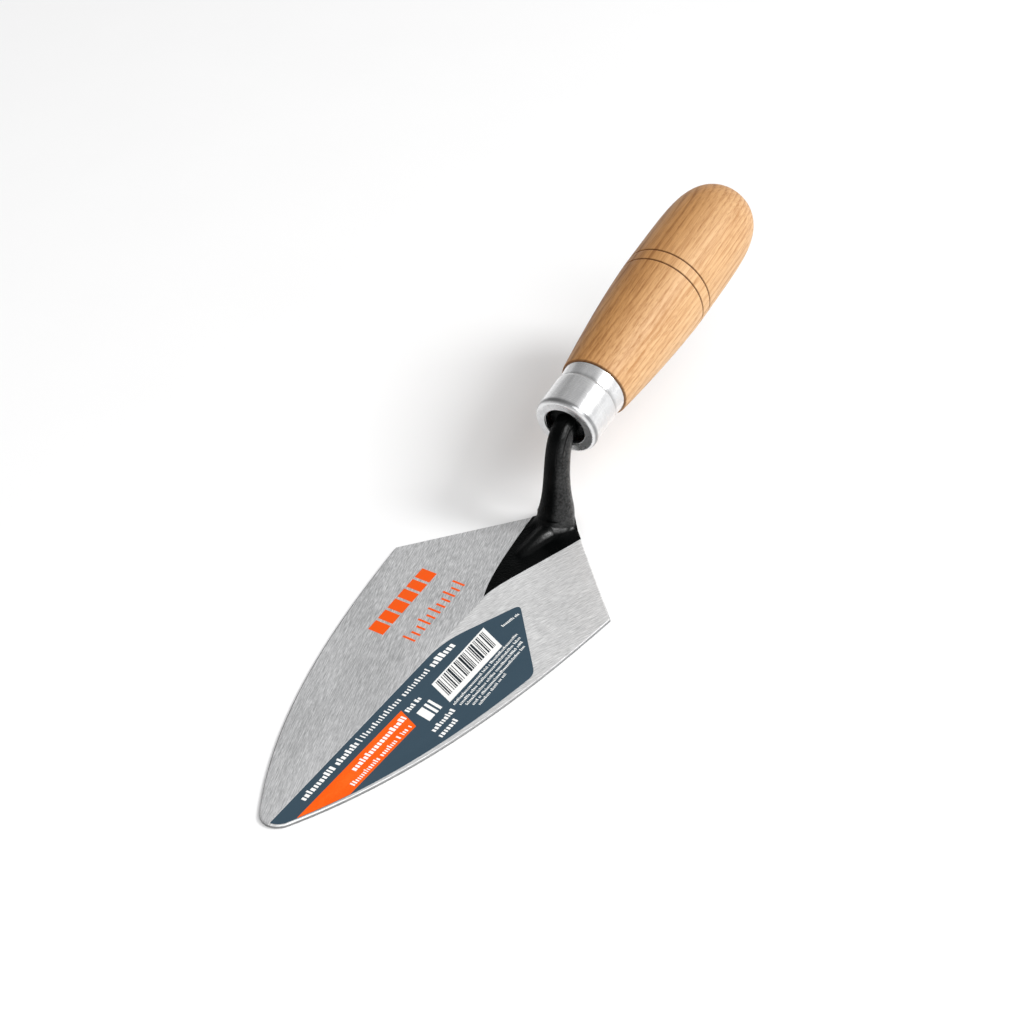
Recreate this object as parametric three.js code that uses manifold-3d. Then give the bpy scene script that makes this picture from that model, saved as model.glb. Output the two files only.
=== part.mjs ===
// A seven inch brick trowel of the Philadelphia pattern, in millimetres.
//
// The tool is four pieces. One steel forging is the blade, the shank that rises from its heel, the bolster
// that stops against the wood and the tang inside the handle. A turned hardwood handle takes the tang in a
// blind hole. A pressed steel ferrule caps the handle's front end, and an adhesive label lies on the blade.
//
// +X runs from the blade's tip to the handle's butt and +Z is up. The origin is on the blade's flat
// underside, on its centre line, at the widest station between the two shoulders.

import * as THREE from 'three';
import { mergeVertices } from 'three/addons/utils/BufferGeometryUtils.js';
import Module from 'manifold-3d';

const wasm = await Module();
wasm.setup();

// Blade: plan outline
const BLADE_LENGTH = 178;        // tip to heel corner
const BLADE_WIDTH = 84.6;        // across the shoulders
const HEEL_LENGTH = 46.2;        // widest station to heel corner
const TIP_RADIUS = 6.2;
const TIP_HALF_ANGLE = 58.3;     // degrees of the tip arc on each side of the centre line
const TIP_FULLNESS = 45.4;       // reach of the flank curve's handle at the tip arc
const SHOULDER_FULLNESS = 41.4;  // reach of the flank curve's handle at the shoulder
const SHOULDER_ANGLE = 6.8;      // degrees that the flank still opens at the shoulder

// Blade: ground thickness, a flat underside and two flat facets meeting in a low ridge
const RIDGE_AT_HEEL = 1.9;
const RIDGE_AT_TIP = 1.15;
const EDGE_AT_SHOULDER = 0.95;

// Handle axis: where it leaves the ferrule's mouth, and how far it tips up
const MOUTH_HEIGHT = 36.7;       // mouth centre above the underside
const MOUTH_OVERHANG = -1.2;     // mouth centre behind the heel corner
const HANDLE_TILT = 12.5;        // degrees

// Forging behind the blade
const SHANK_SETBACK = 8.6;       // shank's centre ahead of the heel corner, at the blade
const SHANK_LEAN = 0.8;          // how far the shank drifts back on its way up
const SHANK_RADIUS = 4.3;        // at its waist
const SHANK_RISE = 34;           // reach of the centre curve's handle above the blade
const SHANK_RUN_IN = 6.5;        // reach of the centre curve's handle in front of the bolster
const TAPER_GROWTH = 5.8;        // the shank's taper: extra radius at the blade
const TAPER_HEIGHT = 6.9;
const FLARE_GROWTH = 0.6;        // the short flare into the blade: extra radius at the blade
const FLARE_HEIGHT = 2.5;
const NOSE_LENGTH = 23.5;        // rib from the shank's centre forward along the ridge
const NOSE_HALF_WIDTH = 4.8;
const NOSE_HEIGHT = 4.4;
const FOOT_HALF_WIDTH = 9.3;     // low lobes on each side of the shank
const FOOT_HALF_LENGTH = 5;
const FOOT_HEIGHT = 3.2;
const FOOT_ADVANCE = 3.4;        // lobes' middle ahead of the shank's centre
const HEEL_LAND = 0.4;           // the flare stops this far ahead of the heel's edges
const HEEL_LAND_HEIGHT = 8;      // up to this height
const BOLSTER_PLAY = 0.5;        // all round the bolster as it passes the ferrule's mouth
const BOLSTER_RECESS = 2.4;      // bolster's front face behind the ferrule's mouth
const BOLSTER_LENGTH = 5.1;
const BOLSTER_CHAMFER = 0.8;
const TANG_LENGTH = 62;
const TANG_ROOT = 7.5;           // side of the square tang at the bolster
const TANG_END = 4.5;            // and at its end

// Ferrule, along the handle's axis from its mouth
const FERRULE_LENGTH = 20.6;
const FERRULE_RADIUS = 11.85;
const FERRULE_WALL = 1.0;
const LIP_BREADTH = 1.15;        // rounded lip: across the front face
const LIP_RUN = 2.0;             // and along the body
const LIP_THICKNESS = 1.7;
const MOUTH_RADIUS = 7.6;
const MOUTH_ROUND = 0.5;
const STEP_STATION = 15.0;       // groove between the body and the skirt
const STEP_DEPTH = 0.45;
const STEP_ROUND = 1.2;          // run of the rounded shoulder in front of the groove
const SKIRT_FLARE = 0.55;        // how far the skirt opens from the groove to the wood

// Handle
const HANDLE_LENGTH = 105;       // wood that shows, ferrule to butt
const GRIP_RADIUS = 17.04;       // at the swell
const WOOD_OVERHANG = 0.75;      // step from the ferrule's skirt out to the wood
const SWELL_STATION = 53;        // swell behind the ferrule
const NECK_SWEEP = 1.52;         // exponent of the curve from neck to swell
const BUTT_REACH = 5.5;          // exponents of the rounded curve from swell to butt
const BUTT_ROUND = 2.6;
const GROOVE_STATIONS = [50.0, 55.2];  // turned grooves, behind the ferrule
const GROOVE_WIDTH = 1.0;
const GROOVE_DEPTH = 0.5;

// Label
const LABEL_THICKNESS = 0.12;
const LABEL_GAP = 0.05;          // adhesive under it
const LABEL_RIDGE_MARGIN = 0.4;  // its straight edge to the ridge
const LABEL_TIP_MARGIN = 0.7;    // its curved edge to the blade's edge at the tip
const LABEL_REAR_MARGIN = 2.6;   // and at its rear corner
const LABEL_REAR_STATION = 35.5; // rear corner ahead of the shoulders
const LABEL_PEAK_STATION = 8.1;  // corner nearest the shank, ahead of the shoulders
const LABEL_PEAK_OFFSET = 12.6;  // and to the side of the ridge
const LABEL_TURN_STATION = 36.5; // where its straight edge leaves the ridge
const LABEL_CORNER = 2.6;        // distance from each corner at which its rounding starts

// Fits and fineness
const CLEARANCE = 0.3;
const ROUND_SEGMENTS = 48;
const SWEEP_SEGMENTS = 24;
const SWEEP_STEPS = 16;
const EMBED = 0.5;               // height above the underside from which the raised parts start

const radians = THREE.MathUtils.degToRad;
const heelX = HEEL_LENGTH;
const tipX = HEEL_LENGTH - BLADE_LENGTH;
const halfWidth = BLADE_WIDTH / 2;
const shankX = heelX - SHANK_SETBACK;
const mouth = new THREE.Vector3(heelX + MOUTH_OVERHANG, 0, MOUTH_HEIGHT);
const axisDirection = new THREE.Vector3(Math.cos(radians(HANDLE_TILT)), 0, Math.sin(radians(HANDLE_TILT)));
const bolsterRadius = MOUTH_RADIUS - BOLSTER_PLAY;
const bolsterRear = BOLSTER_RECESS + BOLSTER_LENGTH;
const grooveRadius = FERRULE_RADIUS - STEP_DEPTH;
const skirtRadius = grooveRadius + SKIRT_FLARE;
const neckRadius = skirtRadius + WOOD_OVERHANG;
const woodFront = FERRULE_LENGTH + CLEARANCE;

// Turns and moves a shape made along +X from the origin onto the handle's axis.
const onHandleAxis = new THREE.Matrix4()
  .makeRotationY(-radians(HANDLE_TILT))
  .setPosition(mouth);

// ---------------------------------------------------------------- geometry helpers

function toSolid(geometry) {
  const bare = geometry.clone();
  bare.deleteAttribute('normal');
  bare.deleteAttribute('uv');
  const merged = mergeVertices(bare, 1e-4);
  return new wasm.Manifold(new wasm.Mesh({
    numProp: 3,
    vertProperties: new Float32Array(merged.attributes.position.array),
    triVerts: new Uint32Array(merged.index.array),
  }));
}

function toGeometry(solid) {
  const mesh = solid.getMesh();
  const geometry = new THREE.BufferGeometry();
  geometry.setAttribute('position', new THREE.BufferAttribute(mesh.vertProperties, 3));
  geometry.setIndex(new THREE.BufferAttribute(mesh.triVerts, 1));
  geometry.computeVertexNormals();
  return geometry;
}

// A profile of [station along +X, radius] pairs turned round the X axis.
function turned(profile) {
  const points = profile.map(([station, radius]) => new THREE.Vector2(radius, station));
  return new THREE.LatheGeometry(points, ROUND_SEGMENTS).rotateZ(-Math.PI / 2);
}

// Points of a quarter ellipse from [x0, r0] to [x1, r1]. It leaves along the radius if outFirst is true,
// and along the axis if it is false.
function quarter([x0, r0], [x1, r1], outFirst, steps = 5) {
  const points = [];
  for (let i = 0; i <= steps; i += 1) {
    const angle = (i / steps) * Math.PI / 2;
    const rise = Math.sin(angle);
    const fall = 1 - Math.cos(angle);
    points.push(outFirst
      ? [x0 + (x1 - x0) * fall, r0 + (r1 - r0) * rise]
      : [x0 + (x1 - x0) * rise, r0 + (r1 - r0) * fall]);
  }
  return points;
}

// ---------------------------------------------------------------- blade

// The curved side from the tip arc to the shoulder: side is +1 or -1.
function flankCurve(side) {
  const tipAngle = radians(TIP_HALF_ANGLE);
  const shoulderAngle = radians(SHOULDER_ANGLE);
  const start = new THREE.Vector2(
    tipX + TIP_RADIUS * (1 - Math.cos(tipAngle)),
    side * TIP_RADIUS * Math.sin(tipAngle),
  );
  const end = new THREE.Vector2(0, side * halfWidth);
  const afterStart = new THREE.Vector2(Math.sin(tipAngle), side * Math.cos(tipAngle))
    .multiplyScalar(TIP_FULLNESS).add(start);
  const beforeEnd = new THREE.Vector2(-Math.cos(shoulderAngle), -side * Math.sin(shoulderAngle))
    .multiplyScalar(SHOULDER_FULLNESS).add(end);
  return new THREE.CubicBezierCurve(start, afterStart, beforeEnd, end);
}

function bladeShape() {
  const near = flankCurve(-1);
  const far = flankCurve(1);
  const tipAngle = radians(TIP_HALF_ANGLE);
  const shape = new THREE.Shape();
  shape.moveTo(heelX, 0);
  shape.lineTo(far.v3.x, far.v3.y);
  shape.bezierCurveTo(far.v2.x, far.v2.y, far.v1.x, far.v1.y, far.v0.x, far.v0.y);
  shape.absarc(tipX + TIP_RADIUS, 0, TIP_RADIUS, Math.PI - tipAngle, Math.PI + tipAngle, false);
  shape.bezierCurveTo(near.v1.x, near.v1.y, near.v2.x, near.v2.y, near.v3.x, near.v3.y);
  return shape;
}

function ridgeHeight(x) {
  return THREE.MathUtils.lerp(RIDGE_AT_HEEL, RIDGE_AT_TIP, (heelX - x) / BLADE_LENGTH);
}

function facetHeight(x, y) {
  const fallPerMillimetre = (ridgeHeight(0) - EDGE_AT_SHOULDER) / halfWidth;
  return ridgeHeight(x) - fallPerMillimetre * Math.abs(y);
}

// A large block whose underside lies on one ground facet.
function aboveFacet(side) {
  const reach = BLADE_LENGTH + BLADE_WIDTH;
  const block = 4 * RIDGE_AT_HEEL;
  const tip = new THREE.Vector3(tipX, 0, facetHeight(tipX, 0));
  const heel = new THREE.Vector3(heelX, 0, facetHeight(heelX, 0));
  const shoulder = new THREE.Vector3(0, side * halfWidth, EDGE_AT_SHOULDER);
  const along = heel.clone().sub(tip).normalize();
  const up = shoulder.clone().sub(tip).cross(along).multiplyScalar(-side).normalize();
  const across = up.clone().cross(along);
  const place = new THREE.Matrix4().makeBasis(along, across, up).setPosition(tip);
  const box = new THREE.BoxGeometry(2 * reach, 2 * reach, block).translate(0, 0, block / 2);
  return toSolid(box.applyMatrix4(place));
}

function bladeSolid() {
  const blank = new THREE.ExtrudeGeometry(bladeShape(), {
    depth: 2 * RIDGE_AT_HEEL,
    bevelEnabled: false,
    curveSegments: 20,
  });
  return toSolid(blank).subtract(aboveFacet(1)).subtract(aboveFacet(-1));
}

// ---------------------------------------------------------------- shank, foot, bolster and tang

// The shank's centre line: straight up from the blade, then over into the ferrule's mouth.
function shankCurve() {
  const end = mouth.clone().addScaledVector(axisDirection, BOLSTER_RECESS + BOLSTER_LENGTH / 2);
  return new THREE.CubicBezierCurve3(
    new THREE.Vector3(shankX, 0, EMBED),
    new THREE.Vector3(shankX + SHANK_LEAN, 0, SHANK_RISE),
    end.clone().addScaledVector(axisDirection, -SHANK_RUN_IN - BOLSTER_LENGTH / 2),
    end,
  );
}

// The radius falls from the blade upwards in a short flare and a longer taper.
function shankRadius(height) {
  return SHANK_RADIUS
    + TAPER_GROWTH * Math.exp(-height / TAPER_HEIGHT)
    + FLARE_GROWTH * Math.exp(-height / FLARE_HEIGHT);
}

// A closed cylinder bent along the centre line, with each ring at its own radius.
function shankSolid() {
  const curve = shankCurve();
  const side = new THREE.Vector3(0, 1, 0);
  const geometry = new THREE.CylinderGeometry(1, 1, 1, SWEEP_SEGMENTS, SWEEP_STEPS);
  const vertex = new THREE.Vector3();
  for (let i = 0; i < geometry.attributes.position.count; i += 1) {
    vertex.fromBufferAttribute(geometry.attributes.position, i);
    const t = vertex.y + 0.5;
    const centre = curve.getPoint(t);
    const fore = curve.getTangent(t).cross(side);
    const radius = shankRadius(centre.z - EMBED);
    const placed = centre
      .addScaledVector(fore, vertex.x * radius)
      .addScaledVector(side, vertex.z * radius);
    geometry.attributes.position.setXYZ(i, placed.x, placed.y, placed.z);
  }
  return toSolid(geometry);
}

// The half of an ellipsoid that stands above the blade's mid thickness.
function mound(x, halfLength, halfBreadth, height) {
  const floor = halfLength + halfBreadth + height;
  const ball = new THREE.SphereGeometry(1, SWEEP_SEGMENTS, SWEEP_STEPS)
    .rotateX(Math.PI / 2)
    .scale(halfLength, halfBreadth, height)
    .translate(x, 0, EMBED);
  const below = new THREE.BoxGeometry(2 * floor, 2 * floor, floor)
    .translate(x, 0, EMBED - floor / 2);
  return toSolid(ball).subtract(toSolid(below));
}

// Everything low down that lies outside the blade's outline.
function outsideHeel() {
  const reach = BLADE_LENGTH + BLADE_WIDTH;
  const around = new THREE.BoxGeometry(reach, reach, 2 * HEEL_LAND_HEIGHT).translate(heelX, 0, 0);
  const plan = new THREE.ExtrudeGeometry(bladeShape(), {
    depth: 4 * HEEL_LAND_HEIGHT,
    bevelEnabled: false,
    curveSegments: 4,
  }).translate(-HEEL_LAND, 0, -2 * HEEL_LAND_HEIGHT);
  return toSolid(around).subtract(toSolid(plan));
}

function bolsterSolid() {
  const profile = [
    [BOLSTER_RECESS, 0],
    [BOLSTER_RECESS, bolsterRadius - BOLSTER_CHAMFER],
    [BOLSTER_RECESS + BOLSTER_CHAMFER, bolsterRadius],
    [bolsterRear, bolsterRadius],
    [bolsterRear, 0],
  ];
  return toSolid(turned(profile).applyMatrix4(onHandleAxis));
}

// A square taper from the bolster backwards, grown all round by margin.
function squareTaper(from, margin) {
  const length = bolsterRear + TANG_LENGTH + margin - from;
  const halfDiagonal = (side) => (side / 2 + margin) * Math.SQRT2;
  return new THREE.CylinderGeometry(halfDiagonal(TANG_END), halfDiagonal(TANG_ROOT), length, 4)
    .rotateY(Math.PI / 4)
    .rotateZ(-Math.PI / 2)
    .translate(from + length / 2, 0, 0);
}

function forgingGeometry() {
  const tang = squareTaper(bolsterRear - BOLSTER_LENGTH / 2, 0).applyMatrix4(onHandleAxis);
  const nose = mound(shankX, NOSE_LENGTH, NOSE_HALF_WIDTH, NOSE_HEIGHT);
  const rearOfShank = new THREE.BoxGeometry(BLADE_LENGTH, BLADE_WIDTH, 4 * NOSE_HEIGHT)
    .translate(shankX + BLADE_LENGTH / 2, 0, 0);
  const foot = mound(shankX - FOOT_ADVANCE, FOOT_HALF_LENGTH, FOOT_HALF_WIDTH, FOOT_HEIGHT);
  const raised = shankSolid()
    .add(nose.subtract(toSolid(rearOfShank)))
    .add(foot)
    .subtract(outsideHeel());
  const solid = bladeSolid()
    .add(raised)
    .add(bolsterSolid())
    .add(toSolid(tang));
  return toGeometry(solid);
}

// ---------------------------------------------------------------- ferrule

// A pressed cup: a thick lip round the mouth, a straight body, a groove and a skirt that opens to the wood.
function ferruleGeometry() {
  const innerFront = FERRULE_RADIUS - FERRULE_WALL;
  const profile = [
    [MOUTH_ROUND, MOUTH_RADIUS],
    [0, MOUTH_RADIUS + MOUTH_ROUND],
    ...quarter([0, FERRULE_RADIUS - LIP_BREADTH], [LIP_RUN, FERRULE_RADIUS], true),
    ...quarter([STEP_STATION - STEP_ROUND, FERRULE_RADIUS], [STEP_STATION, grooveRadius], false),
    [STEP_STATION + STEP_DEPTH, grooveRadius],
    [FERRULE_LENGTH, skirtRadius],
    [FERRULE_LENGTH, skirtRadius - FERRULE_WALL],
    [STEP_STATION + STEP_DEPTH, grooveRadius - FERRULE_WALL],
    [STEP_STATION - STEP_ROUND, grooveRadius - FERRULE_WALL],
    [STEP_STATION - 2 * STEP_ROUND, innerFront],
    [LIP_THICKNESS, innerFront],
    [LIP_THICKNESS, MOUTH_RADIUS],
    [MOUTH_ROUND, MOUTH_RADIUS],
  ];
  return turned(profile);
}

// ---------------------------------------------------------------- handle

// Outer radius of the wood at a distance behind the ferrule.
function gripRadius(station) {
  if (station < SWELL_STATION) {
    const back = (SWELL_STATION - station) / SWELL_STATION;
    return GRIP_RADIUS - (GRIP_RADIUS - neckRadius) * back ** NECK_SWEEP;
  }
  const on = Math.min(1, (station - SWELL_STATION) / (HANDLE_LENGTH - SWELL_STATION));
  return GRIP_RADIUS * (1 - on ** BUTT_REACH) ** (1 / BUTT_ROUND);
}

// Stations of the wood's outline: even along the neck and the swell, closer towards the butt.
function gripStations() {
  const stations = [];
  const neckSteps = 12;
  const buttSteps = 18;
  for (let i = 0; i < neckSteps; i += 1) {
    stations.push((SWELL_STATION * i) / neckSteps);
  }
  for (let i = 0; i <= buttSteps; i += 1) {
    const on = Math.sin((i / buttSteps) * Math.PI / 2);
    stations.push(SWELL_STATION + (HANDLE_LENGTH - SWELL_STATION) * on);
  }
  return stations;
}

function handleGeometry() {
  const inGroove = (station) => GROOVE_STATIONS.some(
    (groove) => Math.abs(station - groove) < GROOVE_WIDTH,
  );
  const outline = gripStations()
    .filter((station) => !inGroove(station))
    .map((station) => [station, gripRadius(station)]);
  for (const groove of GROOVE_STATIONS) {
    const front = groove - GROOVE_WIDTH / 2;
    const rear = groove + GROOVE_WIDTH / 2;
    outline.push([front, gripRadius(front)]);
    outline.push([groove, gripRadius(groove) - GROOVE_DEPTH]);
    outline.push([rear, gripRadius(rear)]);
  }
  outline.sort((a, b) => a[0] - b[0]);
  outline[outline.length - 1][1] = 0;

  const spigotRadius = grooveRadius - FERRULE_WALL - CLEARANCE;
  const profile = [
    [bolsterRear + CLEARANCE, 0],
    [bolsterRear + CLEARANCE, spigotRadius],
    [woodFront, spigotRadius],
    ...outline.map(([station, radius]) => [woodFront + station, radius]),
  ];
  const hole = squareTaper(bolsterRear - CLEARANCE, CLEARANCE);
  return toGeometry(toSolid(turned(profile)).subtract(toSolid(hole)));
}

// ---------------------------------------------------------------- label

// The label's curved edge: the blade's own edge moved inwards by a margin that grows towards the rear.
function labelEdge() {
  const flank = flankCurve(-1);
  const rearX = -LABEL_REAR_STATION;
  const steps = 40;
  const points = [];
  for (let i = 0; i <= steps; i += 1) {
    const point = flank.getPoint(i / steps);
    const tangent = flank.getTangent(i / steps);
    const on = (point.x - tipX) / (rearX - tipX);
    const margin = THREE.MathUtils.lerp(LABEL_TIP_MARGIN, LABEL_REAR_MARGIN, on);
    const inward = new THREE.Vector2(-tangent.y, tangent.x);
    points.push(point.addScaledVector(inward, margin));
  }
  return points.filter((point) => point.x < rearX);
}

function labelShape() {
  const tipAngle = radians(TIP_HALF_ANGLE);
  const arcRadius = TIP_RADIUS - LABEL_TIP_MARGIN;
  const startAngle = Math.asin(LABEL_RIDGE_MARGIN / arcRadius);
  const edge = labelEdge();
  const rear = edge.pop();
  const peak = new THREE.Vector2(-LABEL_PEAK_STATION, -LABEL_PEAK_OFFSET);
  const turn = new THREE.Vector2(-LABEL_TURN_STATION, -LABEL_RIDGE_MARGIN);
  const towards = (from, to) => to.clone().sub(from).setLength(LABEL_CORNER).add(from);

  const shape = new THREE.Shape();
  shape.absarc(tipX + TIP_RADIUS, 0, arcRadius, Math.PI + startAngle, Math.PI + tipAngle, false);
  for (const point of edge) {
    shape.lineTo(point.x, point.y);
  }
  for (const [corner, next] of [[rear, peak], [peak, turn]]) {
    const before = towards(corner, shape.currentPoint);
    const after = towards(corner, next);
    shape.lineTo(before.x, before.y);
    shape.quadraticCurveTo(corner.x, corner.y, after.x, after.y);
  }
  shape.lineTo(turn.x, turn.y);
  shape.closePath();
  return shape;
}

// A thin slab that follows the facet under it.
function labelGeometry() {
  const geometry = new THREE.ExtrudeGeometry(labelShape(), {
    depth: LABEL_THICKNESS,
    bevelEnabled: false,
    curveSegments: 6,
  });
  const position = geometry.attributes.position;
  for (let i = 0; i < position.count; i += 1) {
    const lift = facetHeight(position.getX(i), position.getY(i)) + LABEL_GAP;
    position.setZ(i, position.getZ(i) + lift);
  }
  geometry.computeVertexNormals();
  return geometry;
}

// ---------------------------------------------------------------- assembly

function piece(name, geometry, colour, roughness, metalness) {
  const material = new THREE.MeshStandardMaterial({ color: colour, roughness, metalness });
  const mesh = new THREE.Mesh(geometry, material);
  mesh.name = name;
  return mesh;
}

const trowel = new THREE.Group();
trowel.add(piece('forging', forgingGeometry(), 0xb9bbbd, 0.42, 0.9));
trowel.add(piece('blade_label', labelGeometry(), 0x3d4f5b, 0.5, 0));

const grip = new THREE.Group();
grip.position.copy(mouth);
grip.rotation.y = -radians(HANDLE_TILT);
grip.add(piece('ferrule', ferruleGeometry(), 0xc9ccd0, 0.3, 1));
grip.add(piece('handle', handleGeometry(), 0xd8a468, 0.45, 0));
trowel.add(grip);

export default trowel;
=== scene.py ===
import bmesh
import bpy
import numpy as np
from mathutils import Matrix, Vector


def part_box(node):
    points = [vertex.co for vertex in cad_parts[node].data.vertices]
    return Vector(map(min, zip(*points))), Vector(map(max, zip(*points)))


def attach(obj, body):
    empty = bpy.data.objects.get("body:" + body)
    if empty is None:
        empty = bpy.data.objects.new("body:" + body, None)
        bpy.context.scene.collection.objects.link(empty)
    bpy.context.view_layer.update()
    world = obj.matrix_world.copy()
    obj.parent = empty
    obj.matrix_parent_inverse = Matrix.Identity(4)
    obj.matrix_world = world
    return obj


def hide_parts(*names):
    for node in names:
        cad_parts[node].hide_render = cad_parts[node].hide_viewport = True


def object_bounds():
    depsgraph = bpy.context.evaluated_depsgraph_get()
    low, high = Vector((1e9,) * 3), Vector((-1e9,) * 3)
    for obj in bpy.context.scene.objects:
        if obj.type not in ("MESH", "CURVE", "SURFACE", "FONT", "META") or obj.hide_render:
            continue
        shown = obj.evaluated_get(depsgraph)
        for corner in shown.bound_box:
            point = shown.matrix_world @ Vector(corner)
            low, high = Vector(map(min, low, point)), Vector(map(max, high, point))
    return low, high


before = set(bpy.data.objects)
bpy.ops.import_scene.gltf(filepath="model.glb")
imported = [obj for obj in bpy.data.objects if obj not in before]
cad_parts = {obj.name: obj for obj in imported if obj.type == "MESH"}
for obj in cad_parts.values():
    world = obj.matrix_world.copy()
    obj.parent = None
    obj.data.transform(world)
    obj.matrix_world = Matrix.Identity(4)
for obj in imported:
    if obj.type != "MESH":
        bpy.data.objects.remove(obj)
cad_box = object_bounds()


# ---------------------------------------------------------------- ground blade
# The blade is the front of one steel forging: a leaf with a flat underside and two flat facets that meet in
# a low ridge. Each facet is ground on a belt in its own direction, so the two catch light differently, and
# the left facet's darker colour is painted shade. The top edge is broken with a narrow chamfer all round.
MM = 0.001
TIP_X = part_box("forging")[0].x / MM
HALF_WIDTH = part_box("forging")[1].y / MM
BLADE_LENGTH = 178.0
HEEL_X = TIP_X + BLADE_LENGTH
TIP_RADIUS = 6.2
TIP_HALF_ANGLE = np.radians(58.3)
SHOULDER_ANGLE = np.radians(6.8)
TIP_FULLNESS, SHOULDER_FULLNESS = 45.4, 41.4
RIDGE_AT_HEEL, RIDGE_AT_TIP, EDGE_AT_SHOULDER = 1.9, 1.15, 0.95
CHAMFER_RUN, CHAMFER_DROP = 0.42, 0.28
FACET_COLUMNS = 10
SOLE_RUN, SOLE_RISE = 0.12, 0.10
RIDGE_SOFTNESS = 0.22
LEFT_STROKES, RIGHT_STROKES = (15.0, 0.35), (-22.0, -0.35)


def paint(red, green, blue):
    """A screen colour in 0-255 as linear light: ((c + 0.055) / 1.055) ^ 2.4, or c / 12.92 near black."""
    c = np.array([red, green, blue]) / 255
    linear = np.where(c <= 0.04045, c / 12.92, ((c + 0.055) / 1.055) ** 2.4)
    return (*linear.tolist(), 1.0)


class Value:
    """A number or vector that varies over a piece. + - * / ** and > on it add Math nodes to its finish."""

    def __init__(self, finish, socket):
        self.finish = finish
        self.socket = socket

    def math(self, operation, *terms):
        return self.finish.node("ShaderNodeMath", {"operation": operation}, dict(enumerate(terms)))

    def __add__(self, other):
        return self.math("ADD", self, other)

    def __sub__(self, other):
        return self.math("SUBTRACT", self, other)

    def __mul__(self, other):
        return self.math("MULTIPLY", self, other)

    def __truediv__(self, other):
        return self.math("DIVIDE", self, other)

    def __pow__(self, other):
        return self.math("POWER", self, other)

    def __rsub__(self, other):
        return self.math("SUBTRACT", other, self)

    def __gt__(self, other):
        return self.math("GREATER_THAN", self, other)

    __radd__ = __add__
    __rmul__ = __mul__

    def size(self):
        return self.math("ABSOLUTE", self)

    def ramp(self, low, high):
        """0 below low, 1 above high, smooth between."""
        settings = {"interpolation_type": "SMOOTHSTEP"}
        return self.finish.node("ShaderNodeMapRange", settings, {0: self, 1: low, 2: high})


class Finish:
    """A material for one piece: a Principled shader and the nodes that drive it."""

    def __init__(self, name, **constants):
        self.material = bpy.data.materials.new(name)
        self.material.use_nodes = True
        self.tree = self.material.node_tree
        self.shader = self.tree.nodes["Principled BSDF"]
        for socket, value in constants.items():
            self.shader.inputs[socket.replace("_", " ")].default_value = value
        self.place = self.node("ShaderNodeTexCoord", out=3)

    def node(self, kind, settings=None, sockets=None, out=0):
        new = self.tree.nodes.new(kind)
        for name, value in (settings or {}).items():
            setattr(new, name, value)
        for name, value in (sockets or {}).items():
            if isinstance(value, Value):
                self.tree.links.new(value.socket, new.inputs[name])
            else:
                new.inputs[name].default_value = value
        return Value(self, new.outputs[out])

    def axes(self, vector=None):
        """The three coordinates of a vector as numbers."""
        split = self.node("ShaderNodeSeparateXYZ", None, {0: vector or self.place})
        return [Value(self, split.socket.node.outputs[i]) for i in range(3)]

    def vector(self, x, y, z):
        return self.node("ShaderNodeCombineXYZ", None, {0: x, 1: y, 2: z})

    def grain(self, size, place=None, turn=(0, 0, 0), centre=(0, 0, 0), detail=2.0, sharpness=0.5):
        """Noise whose lumps are size metres along the three turned axes."""
        laid = self.node(
            "ShaderNodeMapping",
            {"vector_type": "TEXTURE"},
            {0: place or self.place, 1: centre, 2: turn, 3: size},
        )
        sockets = {"Vector": laid, "Scale": 1.0, "Detail": detail, "Roughness": sharpness}
        return self.node("ShaderNodeTexNoise", None, sockets)

    def mix(self, factor, first, second):
        """From the first colour to the second as factor goes from 0 to 1."""
        sockets = {0: factor, 6: first, 7: second}
        return self.node("ShaderNodeMix", {"data_type": "RGBA"}, sockets, out=2)

    def relief(self, height, depth):
        """A bump whose full height is depth metres."""
        sockets = {"Strength": 1.0, "Distance": depth, "Height": height}
        return self.node("ShaderNodeBump", None, sockets)

    def drive(self, **sockets):
        """Feeds the shader's sockets from values that vary over the piece."""
        for name, value in sockets.items():
            self.tree.links.new(value.socket, self.shader.inputs[name.replace("_", " ")])


def skin(name, grids, finish, crease=32.0, loop=False):
    """A piece made of closed skins. Each grid holds places in millimetres by row and column. The columns
    close round on themselves, and so do the rows if loop is true. Places that coincide become one."""
    places, faces, start = [], [], 0
    for grid in grids:
        rows, columns = grid.shape[:2]
        index = start + np.arange(rows * columns).reshape(rows, columns)
        if loop:
            index = np.vstack([index, index[:1]])
        index = np.hstack([index, index[:, :1]])
        corners = [index[:-1, :-1], index[:-1, 1:], index[1:, 1:], index[1:, :-1]]
        faces.append(np.stack(corners, axis=-1).reshape(-1, 4))
        places.append(grid.reshape(-1, 3) * MM)
        start += rows * columns
    mesh = bpy.data.meshes.new(name)
    mesh.from_pydata(np.vstack(places).tolist(), [], np.vstack(faces).tolist())
    work = bmesh.new()
    work.from_mesh(mesh)
    bmesh.ops.remove_doubles(work, verts=work.verts, dist=1e-6)
    bmesh.ops.recalc_face_normals(work, faces=work.faces)
    work.to_mesh(mesh)
    work.free()
    mesh.shade_smooth()
    mesh.set_sharp_from_angle(angle=np.radians(crease))
    mesh.materials.append(finish.material)
    piece = bpy.data.objects.new(name, mesh)
    bpy.context.scene.collection.objects.link(piece)
    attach(piece, "root")
    return piece


def cubic(a, b, c, d, t):
    """The cubic curve through a and d that leaves towards b and arrives from c, at each t from 0 to 1."""
    a, b, c, d = (np.asarray(p, float) for p in (a, b, c, d))
    t = np.asarray(t, float)[:, None]
    return a * (1 - t) ** 3 + 3 * b * t * (1 - t) ** 2 + 3 * c * t**2 * (1 - t) + d * t**3


def ridge_height(x):
    """Height of the ridge: a straight fall from the heel to the tip."""
    return RIDGE_AT_HEEL + (RIDGE_AT_TIP - RIDGE_AT_HEEL) * (HEEL_X - x) / BLADE_LENGTH


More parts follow.
